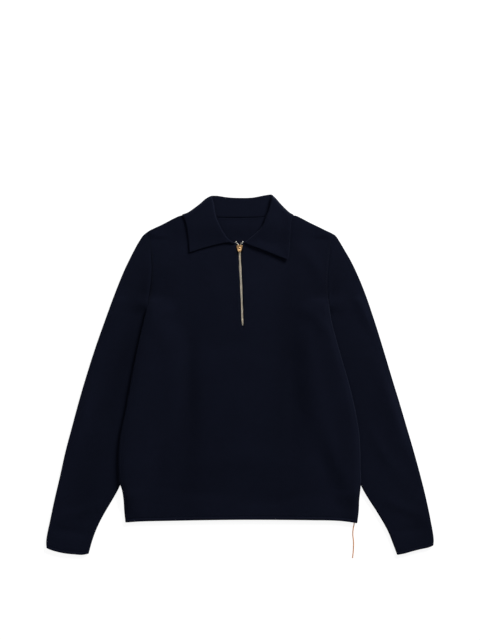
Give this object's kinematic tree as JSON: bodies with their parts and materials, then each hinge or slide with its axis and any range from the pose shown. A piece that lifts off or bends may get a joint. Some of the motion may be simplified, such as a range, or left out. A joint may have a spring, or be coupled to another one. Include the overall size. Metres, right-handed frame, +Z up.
{
  "type": "quarter zip sweater",
  "caption": "Knitted quarter zip sweater with a folded polo collar and long sleeves, laid flat on its back on a surface.",
  "frame": {"origin": "middle of the garment's footprint, on the surface it lies on", "axes": "+X towards the wearer's left sleeve, +Y towards the collar, +Z up from the surface through the front"},
  "size_m": [0.8133, 0.7645, 0.0137],
  "materials": {
    "navy_knit": "fine gauge knit, matt",
    "navy_tape": "woven zip tape",
    "pale_metal": "polished pale gold teeth",
    "bronze": "polished antique bronze",
    "peach_thread": "twisted thread"
  },
  "bodies": {
    "garment": {"front": "navy_knit", "back": "navy_knit", "sleeve_right": "navy_knit", "sleeve_left": "navy_knit", "collar": "navy_knit", "zip_tape_right": "navy_tape", "zip_tape_left": "navy_tape", "zip_end_right": "pale_metal", "zip_end_left": "pale_metal", "zip_chain": "pale_metal", "zip_stop": "pale_metal", "zip_slider": "bronze", "thread": "peach_thread"},
    "pull_tab": {"zip_pull": "bronze"}
  },
  "joints": [
    {"name": "pull_hinge", "type": "hinge", "parent": "garment", "child": "pull_tab", "pos_m": [-0.00089, 0.2666, 0.00895], "axis": [1, 0, 0], "range_deg": [-150, 0]}
  ]
}
